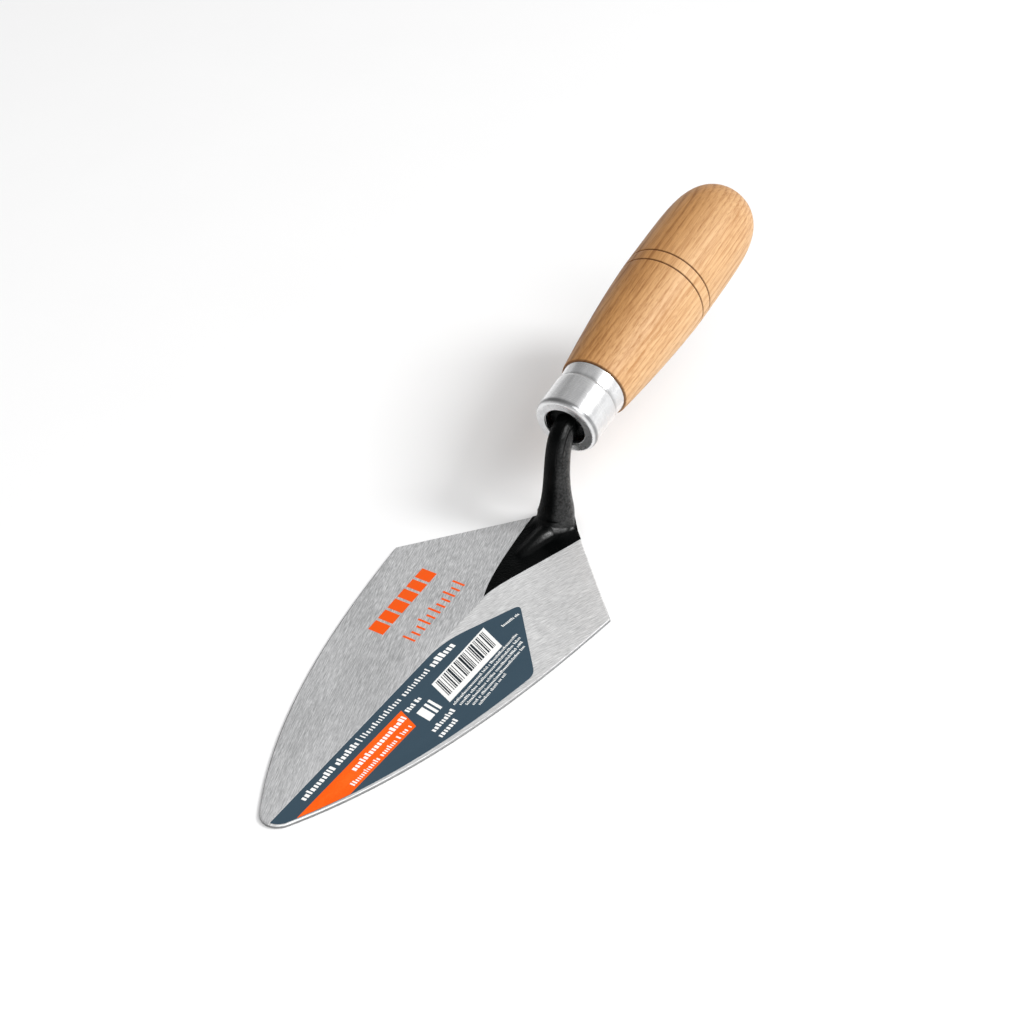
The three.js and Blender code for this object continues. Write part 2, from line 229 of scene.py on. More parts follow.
FACET_FALL = (ridge_height(0) - EDGE_AT_SHOULDER) / HALF_WIDTH


def facet_height(x, y):
    """Height of the ground facets: the ridge's height less a fixed fall for each millimetre from it."""
    return ridge_height(x) - FACET_FALL * np.abs(y)


def flank(t, inset=0.0):
    """The curved side from tip arc to shoulder, moved inwards by inset, as x and y."""
    start = np.array([
        TIP_X + TIP_RADIUS * (1 - np.cos(TIP_HALF_ANGLE)),
        TIP_RADIUS * np.sin(TIP_HALF_ANGLE),
    ])
    end = np.array([0.0, HALF_WIDTH])
    leave = start + TIP_FULLNESS * np.array([np.sin(TIP_HALF_ANGLE), np.cos(TIP_HALF_ANGLE)])
    arrive = end - SHOULDER_FULLNESS * np.array([np.cos(SHOULDER_ANGLE), np.sin(SHOULDER_ANGLE)])
    on_edge = cubic(start, leave, arrive, end, t)
    step = 1e-4
    along = cubic(start, leave, arrive, end, t + step) - cubic(start, leave, arrive, end, t - step)
    along /= np.linalg.norm(along, axis=1, keepdims=True)
    return on_edge + np.reshape(inset, (-1, 1)) * np.c_[along[:, 1], -along[:, 0]]


def blade_side(inset):
    """Half the blade's plan outline from the tip to the heel corner, moved inwards by inset: an arc, the
    flank and the straight heel edge, mitred where flank and heel edge meet."""
    turn = np.linspace(0, TIP_HALF_ANGLE, 25)[:-1]
    reach = TIP_RADIUS - inset
    tip = np.c_[TIP_X + TIP_RADIUS - reach * np.cos(turn), reach * np.sin(turn)]
    side = flank(np.linspace(0, 1, 181)[:-1], inset)
    outward = np.array([
        [-np.sin(SHOULDER_ANGLE), np.cos(SHOULDER_ANGLE)],
        np.array([HALF_WIDTH, HEEL_X]) / np.hypot(HALF_WIDTH, HEEL_X),
    ])
    shoulder = [0, HALF_WIDTH] + np.linalg.solve(outward, [-inset, -inset])
    corner = np.array([HEEL_X - inset / outward[1, 0], 0])
    heel = shoulder + np.linspace(0, 1, 97)[:, None] * (corner - shoulder)
    return np.vstack([tip, side, heel])


def blade_skin():
    """Cross-section loops at stations along the outline: facet from ridge to chamfer, chamfer, edge face,
    broken sole corner and flat sole, on the left and mirrored on the right."""
    top, rim, sole = blade_side(CHAMFER_RUN), blade_side(0.0), blade_side(SOLE_RUN)
    share = np.linspace(0, 1, FACET_COLUMNS)
    soft = np.minimum(RIDGE_SOFTNESS, 0.3 * top[:, 1])
    y = soft[:, None] + share * (top[:, 1] - soft)[:, None]
    y = np.c_[np.zeros(len(y)), y]
    x = np.repeat(top[:, :1], y.shape[1], axis=1)
    facet = np.stack([x, y, facet_height(x, y)], axis=-1)
    rim_height = facet_height(rim[:, 0], rim[:, 1]) - CHAMFER_DROP
    edge = np.stack([
        np.c_[rim, rim_height],
        np.c_[rim, np.full(len(rim), SOLE_RISE)],
        np.c_[sole, np.zeros(len(sole))],
        np.c_[sole[:, 0], 0.5 * sole[:, 1], np.zeros(len(sole))],
    ], axis=1)
    keel = np.c_[sole[:, 0], np.zeros(len(sole)), np.zeros(len(sole))][:, None]
    left = np.concatenate([facet, edge], axis=1)
    right = (left * [1, -1, 1])[:, :0:-1]
    return np.concatenate([left, keel, right], axis=1)


def ground_steel_finish():
    """Belt-ground steel. On each facet the strokes run at their own angle and bend slightly, in lumps of
    three sizes: broad passes, plain strokes and fine scratches. They change the tone, the gloss and the
    relief. The left facet is the darker one, as painted shade for the dimmer light it reflects, and the cut
    edge all round and its chamfer are darker still, as painted shade for the dark surroundings they face."""
    finish = Finish("ground_steel", Metallic=0.55, Roughness=0.5)
    x, y, z = finish.axes()
    left = y > 0
    tones = []
    for degrees, bend in (LEFT_STROKES, RIGHT_STROKES):
        cos, sin = np.cos(np.radians(degrees)), np.sin(np.radians(degrees))
        along = x * cos + y * sin
        across = y * cos - x * sin + along * along * bend
        stroke = finish.vector(along, across, 0.0)
        broad = finish.grain((0.040, 0.0050, 1), stroke, detail=1.0)
        plain = finish.grain((0.0070, 0.0006, 1), stroke, detail=2.0, sharpness=0.6)
        fine = finish.grain((0.0034, 0.00030, 1), stroke, detail=2.0, sharpness=0.7)
        tones.append(broad * 0.18 + plain * 0.5 + fine * 1.32 - 0.5)
    left_tone, right_tone = tones
    tone = right_tone + left * (left_tone - right_tone)
    cloud = finish.grain((0.045, 0.020, 1), turn=(0, 0, 0.3), detail=1.0)
    # The left facet's colours are darker: painted shade for the dimmer light that facet reflects.
    dark = finish.mix(left, paint(190, 190, 190), paint(152, 153, 154))
    light = finish.mix(left, paint(255, 255, 255), paint(240, 240, 241))
    shade = tone * 0.9 + cloud * 0.24 - 0.10
    ground = finish.mix(shade.ramp(0.0, 1.0), dark, light)
    # Painted shade: the cut edge and its chamfer are darkened for the dark surroundings they reflect.
    painted_edge_shade = z.ramp(0.00002, 0.00006) * (1 - z.ramp(0.00078, 0.00088))
    finish.drive(
        Base_Color=finish.mix(painted_edge_shade * 0.72, ground, paint(64, 65, 67)),
        Roughness=tone * 0.12 + 0.48,
        Normal=finish.relief(tone, 0.00002),
    )
    return finish


ground_blade = skin("ground_blade", [blade_skin()], ground_steel_finish(), crease=20.0)
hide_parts("forging")


# ---------------------------------------------------------------- lacquered shank and heel
# Behind the blade the same forging rises as a round shank from a foot with a rib on the ridge, bends over
# and ends in a bolster and a square tang inside the handle. It is dipped in black lacquer, which also covers
# a long triangle of the blade round the foot and the heel's edges.
MOUTH = np.array([HEEL_X - 1.2, 0.0, 36.7])
TILT = np.radians(12.5)
AXIS = np.array([np.cos(TILT), 0.0, np.sin(TILT)])
SHANK_X, SHANK_LEAN, SHANK_RISE, SHANK_RUN_IN = HEEL_X - 8.6, 0.8, 34.0, 6.5
SHANK_START = 0.5
WAIST_RADIUS = 4.3
TAPER_GROWTH, TAPER_HEIGHT = 5.8, 6.9
ROOM_INSET, ROOM_RISE, ROOM_LIMITS = 1.8, 0.4, (3.5, 60.0)
BOLSTER_FRONT, BOLSTER_REAR, BOLSTER_RADIUS, BOLSTER_CHAMFER = 2.4, 7.5, 7.5, 0.8
TANG_ROOT, TANG_END, TANG_LENGTH = 7.5, 4.5, 62.0
FOOT_TOP, SHANK_END = 6.5, 0.955
FILM = 0.05
LACQUER_APEX, LACQUER_NOTCH = (-10.0, 0.5), (29.5, 8.35)
LACQUER_LEFT_X, LACQUER_RIGHT_X = 36.3, 32.9
NOSE_X, NOSE_ROUND = 14.0, 3.6
CREST_AT_NOSE, CREST_RISE, CREST_OFFSET = 1.35, 0.125, 1.3
RIB_LEFT, RIB_LEFT_RISE = 2.5, 0.15
RIB_RIGHT, RIB_RIGHT_RISE, SKIRT_START, SKIRT_SPREAD = 2.6, 0.12, 10.0, 0.026
UNDER_LACQUER, UNDER_HEEL, UNDER_SHRINK, UNDER_POLE = 0.2, 0.14, 0.97, 0.5
FILLET_REACH = 5.2
TRIM_MARK_HALF, TRIM_MARK_DEPTH, TRIM_MARK_HEIGHT = 1.05, 0.3, 24.5
TRIM_MARK_ANGLE = np.radians(-143.0)
BURR_RISE, BURR_WIDTH = 0.2, 0.2
SOFT_MINIMUM = 8.0


def lacquer_outline():
    """The lacquer's edge seen from above, from its apex on the ridge round the left side, the two heel
    edges and the right side: three cubic curves and two straight lines. The second value is 1 along the
    heel's two edges and 0 elsewhere."""
    heel_left = np.array([LACQUER_LEFT_X, HALF_WIDTH * (1 - LACQUER_LEFT_X / HEEL_X) + FILM])
    heel_right = np.array([LACQUER_RIGHT_X, -HALF_WIDTH * (1 - LACQUER_RIGHT_X / HEEL_X) - FILM])
    corner = np.array([HEEL_X + FILM, 0.0])
    left = cubic(LACQUER_APEX, [2.0, 5.0], [16.0, 6.4], LACQUER_NOTCH, np.linspace(0, 1, 97)[:-1])
    short = cubic(LACQUER_NOTCH, [31.5, 8.75], [34.0, 8.8], heel_left, np.linspace(0, 1, 17)[:-1])
    near = heel_left + np.linspace(0, 1, 37)[:-1, None] * (corner - heel_left)
    far = corner + np.linspace(0, 1, 49)[:-1, None] * (heel_right - corner)
    right = cubic(heel_right, [12.0, -6.0], [0.0, -0.6], LACQUER_APEX, np.linspace(0, 1, 113)[:-1])
    on_heel = np.r_[np.zeros(len(left) + len(short)), np.ones(len(near) + len(far)), np.zeros(len(right))]
    return np.vstack([left, short, near, far, right]), on_heel


def shank_radius(height, angle):
    """An exponential taper from the blade up, kept inside the heel's edges low down by a soft minimum:
    (a^-8 + b^-8)^(-1/8) of the taper a and the room b."""
    free = WAIST_RADIUS + TAPER_GROWTH * np.exp(-height / TAPER_HEIGHT)
    towards_heel = np.cos(angle) / HEEL_X + np.abs(np.sin(angle)) / HALF_WIDTH
    room = (1 - SHANK_X / HEEL_X) / np.maximum(towards_heel, 1e-3) + ROOM_RISE * height - ROOM_INSET
    room = np.clip(room, *ROOM_LIMITS)
    return (free**-SOFT_MINIMUM + room**-SOFT_MINIMUM) ** (-1 / SOFT_MINIMUM)


def shank_rings(t, angle):
    """Rings round the centre line, a cubic curve that leaves the blade upright and enters the ferrule along
    the handle's axis. Near the top, trimming left a shallow flat-bottomed mark between two low burrs."""
    end = MOUTH + AXIS * (BOLSTER_FRONT + BOLSTER_REAR) / 2
    before = end - AXIS * (SHANK_RUN_IN + (BOLSTER_REAR - BOLSTER_FRONT) / 2)
    points = [[SHANK_X, 0, SHANK_START], [SHANK_X + SHANK_LEAN, 0, SHANK_RISE], before, end]
    centre = cubic(*points, t)
    tangent = cubic(*points, t + 1e-4) - cubic(*points, t - 1e-4)
    tangent /= np.linalg.norm(tangent, axis=1, keepdims=True)
    side = np.array([0.0, 1.0, 0.0])
    back = -np.cross(tangent, side)
    height = centre[:, 2:] - SHANK_START
    radius = shank_radius(height, angle[None, :])
    off_mark = WAIST_RADIUS * np.abs((angle[None, :] - TRIM_MARK_ANGLE + np.pi) % (2 * np.pi) - np.pi)
    below_ferrule = np.clip((height - TRIM_MARK_HEIGHT) / 1.5, 0, 1)
    mark = np.clip((TRIM_MARK_HALF - off_mark) / 0.22 + 0.5, 0, 1)
    burr = np.exp(-(((off_mark - TRIM_MARK_HALF - BURR_WIDTH) / BURR_WIDTH) ** 2))
    radius = radius + (BURR_RISE * burr - TRIM_MARK_DEPTH * mark) * below_ferrule
    round_it = radius[..., None] * (
        np.cos(angle)[None, :, None] * back[:, None] + np.sin(angle)[None, :, None] * side
    )
    return centre[:, None] + round_it


def rib_height(x, y):
    """The foot's rib above the facet: a blunt nose, then a crest that rises evenly towards the shank. Its
    left side is steep, and its right side spreads into a wide skirt near the shank."""
    run = np.clip(x - NOSE_X, 0, 30)
    nose = np.sqrt(1 - (1 - np.clip(run / NOSE_ROUND, 0, 1)) ** 2)
    crest = nose * (CREST_AT_NOSE + CREST_RISE * run)
    off = y - CREST_OFFSET * np.clip((30 - x) / 14, 0, 1)
    left = RIB_LEFT + RIB_LEFT_RISE * run
    right = RIB_RIGHT + RIB_RIGHT_RISE * run + SKIRT_SPREAD * np.clip(run - SKIRT_START, 0, 30) ** 2
    across = np.clip(np.where(off > 0, off / left, -off / right) / (0.3 + 0.7 * nose), 0, 1)
    return crest * (1 - across**1.7) ** 1.25


def foot_rows(outline, ring):
    """From the lacquer's edge in to the shank's lowest ring. Each line runs level over the facet, then
    turns up in a quarter ellipse. The rib joins by the cube root of the sum of cubes and fades as the line
    reaches the shank."""
    far = np.linalg.norm(outline - ring[:, :2], axis=1)
    reach = np.minimum(FILLET_REACH, 0.86 * far)
    share = np.linspace(0, 1, 41)[:, None]
    turn = np.linspace(0, np.pi / 2, 33)[1:, None]
    gap = np.vstack([far - (far - reach) * share, reach * (1 - np.sin(turn))])
    lift = np.vstack([0 * share, 1 - np.cos(turn)])
    fade = np.vstack([1 + 0 * share, np.maximum(np.cos(turn), 0) ** 0.35])
    plan = ring[:, :2] + (gap / far)[..., None] * (outline - ring[:, :2])
    ground = facet_height(np.minimum(plan[..., 0], HEEL_X), plan[..., 1]) + FILM
    rise = lift * (ring[:, 2] - ground)
    rib = rib_height(plan[..., 0], plan[..., 1]) * fade
    height = ground + (rise**3 + rib**3) ** (1 / 3)
    return np.concatenate([plan, height[..., None]], axis=-1)


def behind_shank(angle):
    """Bolster and tang, carried round the handle's axis: a chamfered disc, then a square taper whose
    section is half its width over the larger of |cos| and |sin| of the angle."""
    chamfered = BOLSTER_FRONT + BOLSTER_CHAMFER
    disc_station = [2.2, BOLSTER_FRONT, chamfered, chamfered + 0.1, BOLSTER_REAR]
    disc_radius = [WAIST_RADIUS, BOLSTER_RADIUS - BOLSTER_CHAMFER, *[BOLSTER_RADIUS] * 3]
    station = np.array([*disc_station, BOLSTER_REAR, BOLSTER_REAR + TANG_LENGTH])
    disc = np.repeat(np.array(disc_radius)[:, None], len(angle), axis=1)
    square = 0.5 / np.maximum(np.abs(np.cos(angle)), np.abs(np.sin(angle)))
    radius = np.vstack([disc, TANG_ROOT * square, TANG_END * square])
    down = np.array([AXIS[2], 0.0, -AXIS[0]])
    side = np.array([0.0, 1.0, 0.0])
    spoke = np.cos(angle)[:, None] * down + np.sin(angle)[:, None] * side
    rows = MOUTH + station[:, None, None] * AXIS + radius[..., None] * spoke
    return np.concatenate([rows, np.repeat(rows[-1:].mean(axis=1, keepdims=True), len(angle), axis=1)])


def shank_skin():
    """Rows from a pole inside the blade out under the lacquer's edge, over the foot, up the shank and back
    to a pole at the tang's end. Lines round the shank stand mostly where they leave the foot."""
    outline, on_heel = lacquer_outline()
    radial = np.unwrap(np.arctan2(outline[:, 1], outline[:, 0] - SHANK_X))
    radial = radial - 2 * np.pi * np.round((radial[0] - np.pi) / (2 * np.pi))
    even = np.linspace(np.pi, -np.pi, len(outline) + 1)[:-1]
    angle = 0.85 * radial + 0.15 * even
    steps = np.linspace(0, 1, 400)
    heights = shank_rings(steps, angle)[..., 2].mean(axis=1)
    joint = np.interp(FOOT_TOP, heights, steps)
    shank = shank_rings(np.linspace(joint, SHANK_END, 80), angle)
    foot = foot_rows(outline, shank[0])
    ground = foot[0, :, 2]
    low = np.where(on_heel > 0, UNDER_HEEL, ground - UNDER_LACQUER)
    centre = np.array([SHANK_X - 6, 0.0])
    under = np.stack([
        np.c_[np.tile(centre, (len(outline), 1)), np.full(len(outline), UNDER_POLE)],
        np.c_[centre + UNDER_SHRINK * (outline - centre), low],
        np.c_[outline, low],
    ])
    return np.concatenate([under, foot, shank[1:], behind_shank(angle)])


def black_lacquer_finish():
    """Black stoving lacquer over the forging's rough skin: a fine orange peel and broad shallow hammer
    marks. The coat is a painted sheen for the light from the right: none on the flat blade, full on the
    shank's right side and faint elsewhere, in patches."""
    finish = Finish(
        "black_lacquer", Roughness=0.5, Specular_IOR_Level=0.03, Coat_Roughness=0.2, Coat_IOR=1.62,
    )
    x, y, z = finish.axes()
    peel = finish.grain((0.0008, 0.0008, 0.0008), detail=2.0)
    marks = finish.grain((0.006, 0.006, 0.009), detail=1.0)
    cloud = finish.grain((0.012, 0.012, 0.012), detail=2.0)
    # Painted sheen: the coat's gloss is kept off the flat blade and is full only on the right side.
    painted_sheen = z.ramp(0.0026, 0.0042) * (1.08 - y.ramp(-0.0033, -0.0010))
    finish.drive(
        Base_Color=finish.mix(cloud.ramp(0.35, 0.7), paint(1, 2, 2), paint(7, 8, 8)),
        Coat_Weight=painted_sheen * (peel.ramp(0.3, 0.7) * 0.5 + cloud.ramp(0.3, 0.7) * 0.3 + 0.2),
        Normal=finish.relief(peel * 0.55 + marks * 0.45, 0.0006),
    )
    return finish


lacquered_shank = skin("lacquered_shank", [shank_skin()], black_lacquer_finish(), crease=50.0)
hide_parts("forging")


# ---------------------------------------------------------------- printed marks on the left facet
# Two rows of orange ink, pad-printed on the ground steel: a bold row of plain blocks and a light row of
# dashes under it. They stand where the maker's lettering goes and spell nothing.
INK_THICKNESS = 0.02
BOLD_ROW = ((-42.3, 19.3), (-6.6, 21.3), 6.1)
BOLD_WIDTHS, BOLD_GAP = (5.2, 5.0, 5.4, 4.8, 4.6, 5.4), 1.2
LIGHT_ROW = ((-40.6, 8.0), (-7.4, 9.4), 5.0)
LIGHT_DASHES, LIGHT_GAP = 11, 2.3
INK_SLANT = 0.12


def slab(first, second, under, thickness):
    """A thin plate on the facets between two chains of x and y: its underside lies under millimetres above
    the steel, and its two ends are closed at a middle point."""
    first, second = np.asarray(first, float), np.asarray(second, float)
    low = [np.c_[c, facet_height(c[:, 0], c[:, 1]) + under] for c in (first, second)]
    high = [c + [0, 0, thickness] for c in low]
    ring = np.stack([high[0], high[1], low[1], low[0]], axis=1)
    ends = ring[[0, -1]].mean(axis=1, keepdims=True).repeat(4, axis=1)
    return np.concatenate([ends[:1], ring, ends[1:]])


def block(corner, along, up, width, height, slant, under, thickness):
    """A slanted block: width along the row and height up from it, leaning by slant times its height."""
    along, up = np.asarray(along), np.asarray(up)
    foot = np.asarray(corner) + np.array([[0.0], [1.0]]) * width * along
    return slab(foot + height * (up + slant * along), foot, under, thickness)


def row_of_blocks(start, end, height, widths, gap, slant, under, thickness, heights=(1.0,)):
    """Blocks side by side from start to end. The widths are shares of the row, and the heights repeat."""
    start, end = np.asarray(start), np.asarray(end)
    length = np.linalg.norm(end - start)
    along = (end - start) / length
    up = np.array([-along[1], along[0]])
    widths = np.array(widths, float)
    widths *= (length - gap * (len(widths) - 1)) / widths.sum()
    places = np.r_[0, np.cumsum(widths + gap)[:-1]]
    return [
        block(start + p * along, along, up, w, height * heights[i % len(heights)], slant, under, thickness)
        for i, (p, w) in enumerate(zip(places, widths))
    ]


def ink_finish(name, colour, pale):
    """Printing ink: a thin, slightly uneven film that lets a little of the ground under it show."""
    finish = Finish(name, Roughness=0.5, Specular_IOR_Level=0.15)
    speck = finish.grain((0.0005, 0.0005, 0.0005), detail=2.0)
    cloud = finish.grain((0.009, 0.004, 0.009), detail=2.0)
    finish.drive(
        Base_Color=finish.mix((speck * 0.5 + cloud * 0.5).ramp(0.42, 0.75), colour, pale),
        Roughness=speck * 0.2 + 0.4,
        Normal=finish.relief(speck, 0.00001),
    )
    return finish


bold_blocks = row_of_blocks(*BOLD_ROW, BOLD_WIDTHS, BOLD_GAP, INK_SLANT, 0.0, INK_THICKNESS)
light_dashes = row_of_blocks(
    *LIGHT_ROW, [1.0] * LIGHT_DASHES, LIGHT_GAP, INK_SLANT, 0.0, INK_THICKNESS,
    heights=(1.0, 0.72, 0.72, 1.0, 0.72),
)
facet_print = skin(
    "facet_print", bold_blocks + light_dashes,
    ink_finish("orange_ink", paint(240, 84, 0), paint(226, 92, 22)),
)
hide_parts("forging")


# ---------------------------------------------------------------- label on the right facet
# A slate-coloured adhesive film, cut to follow the blade's edge and the ridge, with an orange band, a white
# panel with plain bars and rows of small blocks where the maker's text goes. Nothing on it can be read.
LABEL_GAP, LABEL_THICKNESS, PRINT = 0.02, 0.15, 0.012
LABEL_TOP = LABEL_GAP + LABEL_THICKNESS
RIDGE_MARGIN, TIP_MARGIN, REAR_MARGIN = 0.4, 0.7, 2.6
LABEL_TURN = (-36.5, -RIDGE_MARGIN)
LABEL_PEAK = (-8.1, -12.6)
LABEL_REAR_X = -35.5
PEAK_ROUND, REAR_ROUND, TURN_ROUND = 2.6, 3.0, 9.0


def rounded(before, corner, after, size, count=14):
    """A corner of a chain, rounded by a quadratic curve that starts and ends size from the corner."""
    before, corner, after = (np.asarray(p, float) for p in (before, corner, after))
    start = corner + (before - corner) / np.linalg.norm(before - corner) * size
    end = corner + (after - corner) / np.linalg.norm(after - corner) * size
    t = np.linspace(0, 1, count)[:, None]
    return start * (1 - t) ** 2 + 2 * corner * t * (1 - t) + end * t**2


def label_edge():
    """The label's curved edge: the blade's edge moved in by a margin that grows evenly towards the rear."""
    t = np.linspace(0, 1, 240)
    x = flank(t)[:, 0]
    inset = TIP_MARGIN + (REAR_MARGIN - TIP_MARGIN) * (x - TIP_X) / (LABEL_REAR_X - TIP_X)
    side = flank(t, inset) * [1, -1]
    turn = np.linspace(0.03, TIP_HALF_ANGLE, 12)[:-1]
    reach = TIP_RADIUS - TIP_MARGIN
    tip = np.c_[TIP_X + TIP_RADIUS - reach * np.cos(turn), -reach * np.sin(turn)]
    return np.vstack([tip, side[side[:, 0] < LABEL_REAR_X]])


def label_chains():
    """The label's inner and outer edges as y at common stations x, from the tip to the rounded peak."""
    outer = label_edge()
    rear = outer[-1]
    start = [outer[0, 0], -RIDGE_MARGIN]
    inner = np.vstack([
        [start],
        rounded(start, LABEL_TURN, LABEL_PEAK, TURN_ROUND),
        rounded(LABEL_TURN, LABEL_PEAK, rear, PEAK_ROUND)[:8],
    ])
    peak = rounded(LABEL_TURN, LABEL_PEAK, rear, PEAK_ROUND)[7:][::-1]
    corner = rounded(outer[-8], rear, LABEL_PEAK, REAR_ROUND)
    outer = np.vstack([outer[outer[:, 0] < rear[0] - REAR_ROUND], corner, peak])
    last = peak[-1, 0]
    x = outer[0, 0] + (last - outer[0, 0]) * (1 - np.cos(np.linspace(0, np.pi, 260))) / 2
    order = np.argsort(inner[:, 0])
    inner_y = np.interp(x, inner[order, 0], inner[order, 1])
    order = np.argsort(outer[:, 0])
    outer_y = np.interp(x, outer[order, 0], outer[order, 1])
    return x, inner_y, np.minimum(outer_y, inner_y)


label_x, label_inner, label_outer = label_chains()
label_body = slab(
    np.c_[label_x, label_inner],
    np.c_[label_x, label_outer],
    LABEL_GAP,
    LABEL_THICKNESS,
)


def label_finish():
    """Printed vinyl film: slate ink with a faint mottle and a satin face."""
    finish = Finish("label_film", Roughness=0.5, Specular_IOR_Level=0.2)
    speck = finish.grain((0.0004, 0.0004, 0.0004), detail=1.0)
    cloud = finish.grain((0.030, 0.008, 0.03), turn=(0, 0, -0.3), detail=2.0)
    finish.drive(
        Base_Color=finish.mix(cloud * 0.6 + speck * 0.4, paint(46, 66, 79), paint(58, 78, 92)),
        Roughness=cloud * 0.15 + 0.4,
        Normal=finish.relief(speck * 0.3 + cloud, 0.00004),
    )
    return finish


label_film = skin("label_film", [label_body], label_finish())
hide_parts("blade_label")

# The orange band runs from the curved edge towards the rear, between two lines nearly along the ridge.
BAND_UPPER = ((-126.0, -6.2), (-70.9, -7.0))
BAND_LOWER = ((-110.6, -14.3), (-74.6, -15.0))


def line_y(ends, x):
    """y at x on the straight line through two points."""
    (x0, y0), (x1, y1) = ends
    return y0 + (y1 - y0) * (np.asarray(x) - x0) / (x1 - x0)


def band_chains():
    """Upper and lower edges of the band: its lines, cut off by the label's curved edge and a slanted end."""
    x = np.linspace(BAND_UPPER[0][0], BAND_LOWER[1][0], 120)
    top = line_y(BAND_UPPER, x)
    bottom = np.maximum(line_y(BAND_LOWER, x), np.interp(x, label_x, label_outer) + 0.02)
    keep = top > bottom + 0.05
    end = np.array([BAND_UPPER[1]])
    upper = np.vstack([np.c_[x, top][keep], end])
    lower = np.vstack([np.c_[x, bottom][keep], end - [[0.02, 0.05]]])
    return upper, lower


label_band = skin(
    "label_band", [slab(*band_chains(), LABEL_TOP, PRINT)],
    ink_finish("label_orange", paint(240, 90, 4), paint(243, 104, 22)),
)
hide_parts("blade_label")

# White print: the panel, rows of small blocks in the place of text, and on the band two more rows.
FINE_PRINT_Y, FINE_PRINT_PITCH = -20.3, 1.75
BAR_MARGIN, BAR_TOP, BAR_FOOT = 0.05, 0.06, 0.80
PANEL = ((-24.0, -8.2), (-28.9, -18.4), (-60.1, -18.2), (-55.8, -8.6))
PANEL_BARS = (
    1, 1, 2, 1, 1, 3, 1, 2, 1, 1, 2, 2, 1, 1, 3, 1, 1, 2, 1, 3, 2, 1, 1, 1, 1, 2, 3, 1, 2, 1, 1, 1,
    1, 3, 1, 2, 1, 1, 2, 1, 3, 2, 1, 1, 1, 2, 2, 1, 1, 3, 2, 1, 1, 1, 1,
)


def small_words(start, end, height, words, gap, seed):
    """A row of small blocks in groups, like words seen from too far away to read."""
    draw = np.random.default_rng(seed)
    start, end = np.asarray(start, float), np.asarray(end, float)
    length = np.linalg.norm(end - start)
    along = (end - start) / length
    letters = draw.uniform(0.7, 1.25, int(length / (0.66 * height)))
    spaces = np.full(len(letters), gap)
    spaces[draw.choice(np.arange(2, len(letters) - 1), words - 1, replace=False)] = 2.8 * gap
    letters *= (length - spaces[:-1].sum()) / letters.sum()
    places = np.r_[0, np.cumsum(letters + spaces)[:-1]]
    up = np.array([-along[1], along[0]])
    tall = draw.choice([0.72, 0.72, 1.0], len(letters))
    return [
        block(start + p * along, along, up, w, height * h, 0.0, LABEL_TOP + PRINT, PRINT)
        for p, w, h in zip(places, letters, tall)
    ]


panel = slab([PANEL[3], PANEL[0]], [PANEL[2], PANEL[1]], LABEL_TOP, PRINT)
white_print = [panel]
white_print += small_words((-118.5, -4.2), (-90.0, -4.3), 2.2, 2, 0.55, 1)
white_print += row_of_blocks((-88.8, -4.4), (-88.3, -4.4), 2.6, (1.0,), 0.0, 0.0, LABEL_TOP, PRINT)
white_print += small_words((-87.0, -4.3), (-50.5, -4.6), 2.0, 2, 0.75, 2)
white_print += small_words((-48.5, -4.8), (-36.0, -5.1), 2.6, 1, 0.6, 3)
white_print += small_words((-100.5, -10.1), (-73.0, -10.6), 2.1, 1, 0.5, 4)
white_print += small_words((-106.0, -13.4), (-75.5, -14.1), 1.7, 5, 0.5, 5)
large_blocks = (1.6, 0.55, 0.55)
white_print += row_of_blocks((-70.6, -17.4), (-63.2, -17.4), 5.6, large_blocks, 0.9, 0.18, LABEL_TOP, PRINT)
white_print += small_words((-70.5, -9.6), (-63.0, -9.6), 1.7, 2, 0.4, 6)
white_print += small_words((-74.0, -21.7), (-62.5, -21.9), 1.9, 1, 0.5, 7)
white_print += small_words((-75.0, -24.9), (-66.0, -25.1), 1.9, 1, 0.5, 8)
for line, line_end in enumerate((-21.5, -22.5, -24.0, -25.5, -40.0)):
    line_start, base = -60.5 + line, FINE_PRINT_Y - FINE_PRINT_PITCH * line
    white_print += small_words((line_start, base), (line_end, base + 0.5), 1.0, 4, 0.3, 20 + line)
white_print += small_words((-20.5, -13.6), (-12.5, -15.0), 1.0, 2, 0.25, 30)
label_marks = skin(
    "label_marks", white_print, ink_finish("label_white", paint(240, 240, 238), paint(252, 252, 250)),
)
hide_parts("blade_label")

# Dark bars on the panel, of uneven widths and in no code.
bar_edges = np.cumsum(np.r_[0, np.array(PANEL_BARS)]) / sum(PANEL_BARS)
bars = []
for i in range(0, len(PANEL_BARS), 2):
    across = BAR_MARGIN + (1 - 2 * BAR_MARGIN) * bar_edges[i:i + 2, None]
    upper = np.array(PANEL[3]) + across * (np.array(PANEL[0]) - PANEL[3])
    lower = np.array(PANEL[2]) + across * (np.array(PANEL[1]) - PANEL[2])
    down = lower - upper
    bars.append(slab(upper + BAR_TOP * down, upper + BAR_FOOT * down, LABEL_TOP + PRINT, PRINT))
panel_bars = skin("panel_bars", bars, ink_finish("label_dark", paint(30, 38, 44), paint(44, 54, 62)))
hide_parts("blade_label")


# ---------------------------------------------------------------- ferrule
# A pressed steel cap, plated bright, over the wood's front end. It has a rounded lip round a plain mouth, a
# straight body, a rolled step and a skirt that opens to meet the wood.
FERRULE_LENGTH, FERRULE_RADIUS, FERRULE_WALL = 20.6, 11.85, 1.0
MOUTH_RADIUS, MOUTH_ROUND, LIP_THICKNESS = 7.6, 0.55, 1.7
FACE_RADIUS, LIP_ROUND = 10.3, 2.2
AROUND = 180
STEP_STATION, STEP_DEPTH, STEP_RUN, SKIRT_FLARE = 15.0, 0.45, 1.2, 0.55
CLEARANCE = 0.3


